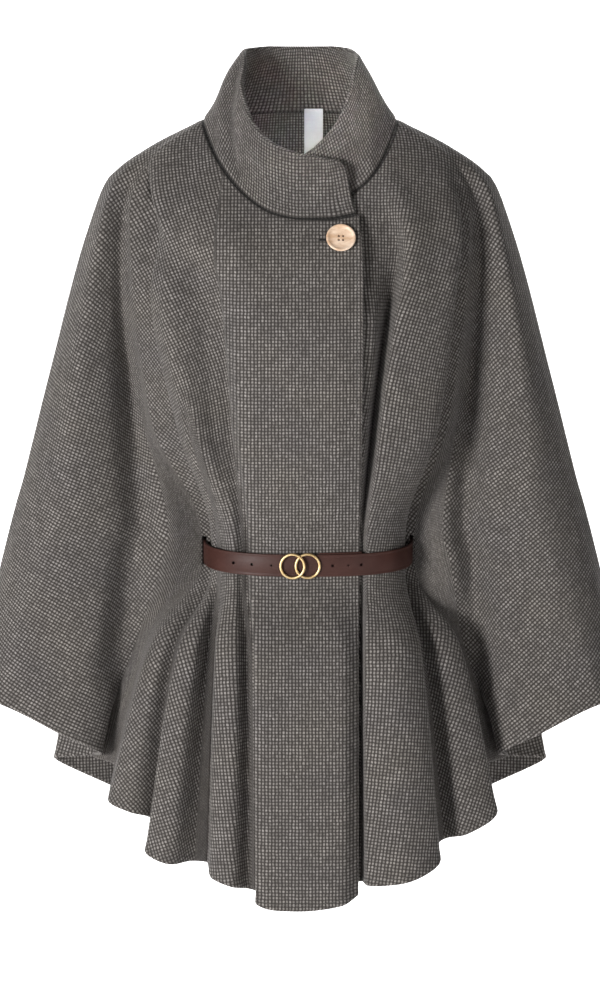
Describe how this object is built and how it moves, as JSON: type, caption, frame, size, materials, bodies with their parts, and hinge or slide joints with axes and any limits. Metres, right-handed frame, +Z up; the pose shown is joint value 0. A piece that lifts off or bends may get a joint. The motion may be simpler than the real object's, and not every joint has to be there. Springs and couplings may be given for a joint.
{
  "type": "wool cape coat",
  "caption": "Belted wool cape coat with a funnel collar, wide wings for sleeves, pleats below the belt and a button at the neck.",
  "frame": {"origin": "middle of the neck, level with the side neck points, where the coat hangs on the shoulders", "axes": "+Z up along the neck, the front faces -Y, the wearer's left is at +X"},
  "size_m": [0.7364, 0.3483, 0.9316],
  "materials": {
    "wool": "woven",
    "leather": "smooth",
    "brass": "brushed",
    "horn": "satin",
    "satin": "satin"
  },
  "bodies": {
    "root": {"front_right": "wool", "front_left": "wool", "back": "wool", "collar": "wool", "belt_strap": "leather", "belt_tail": "leather", "buckle_rings": "brass", "button": "horn", "neck_label": "satin"}
  },
  "joints": []
}
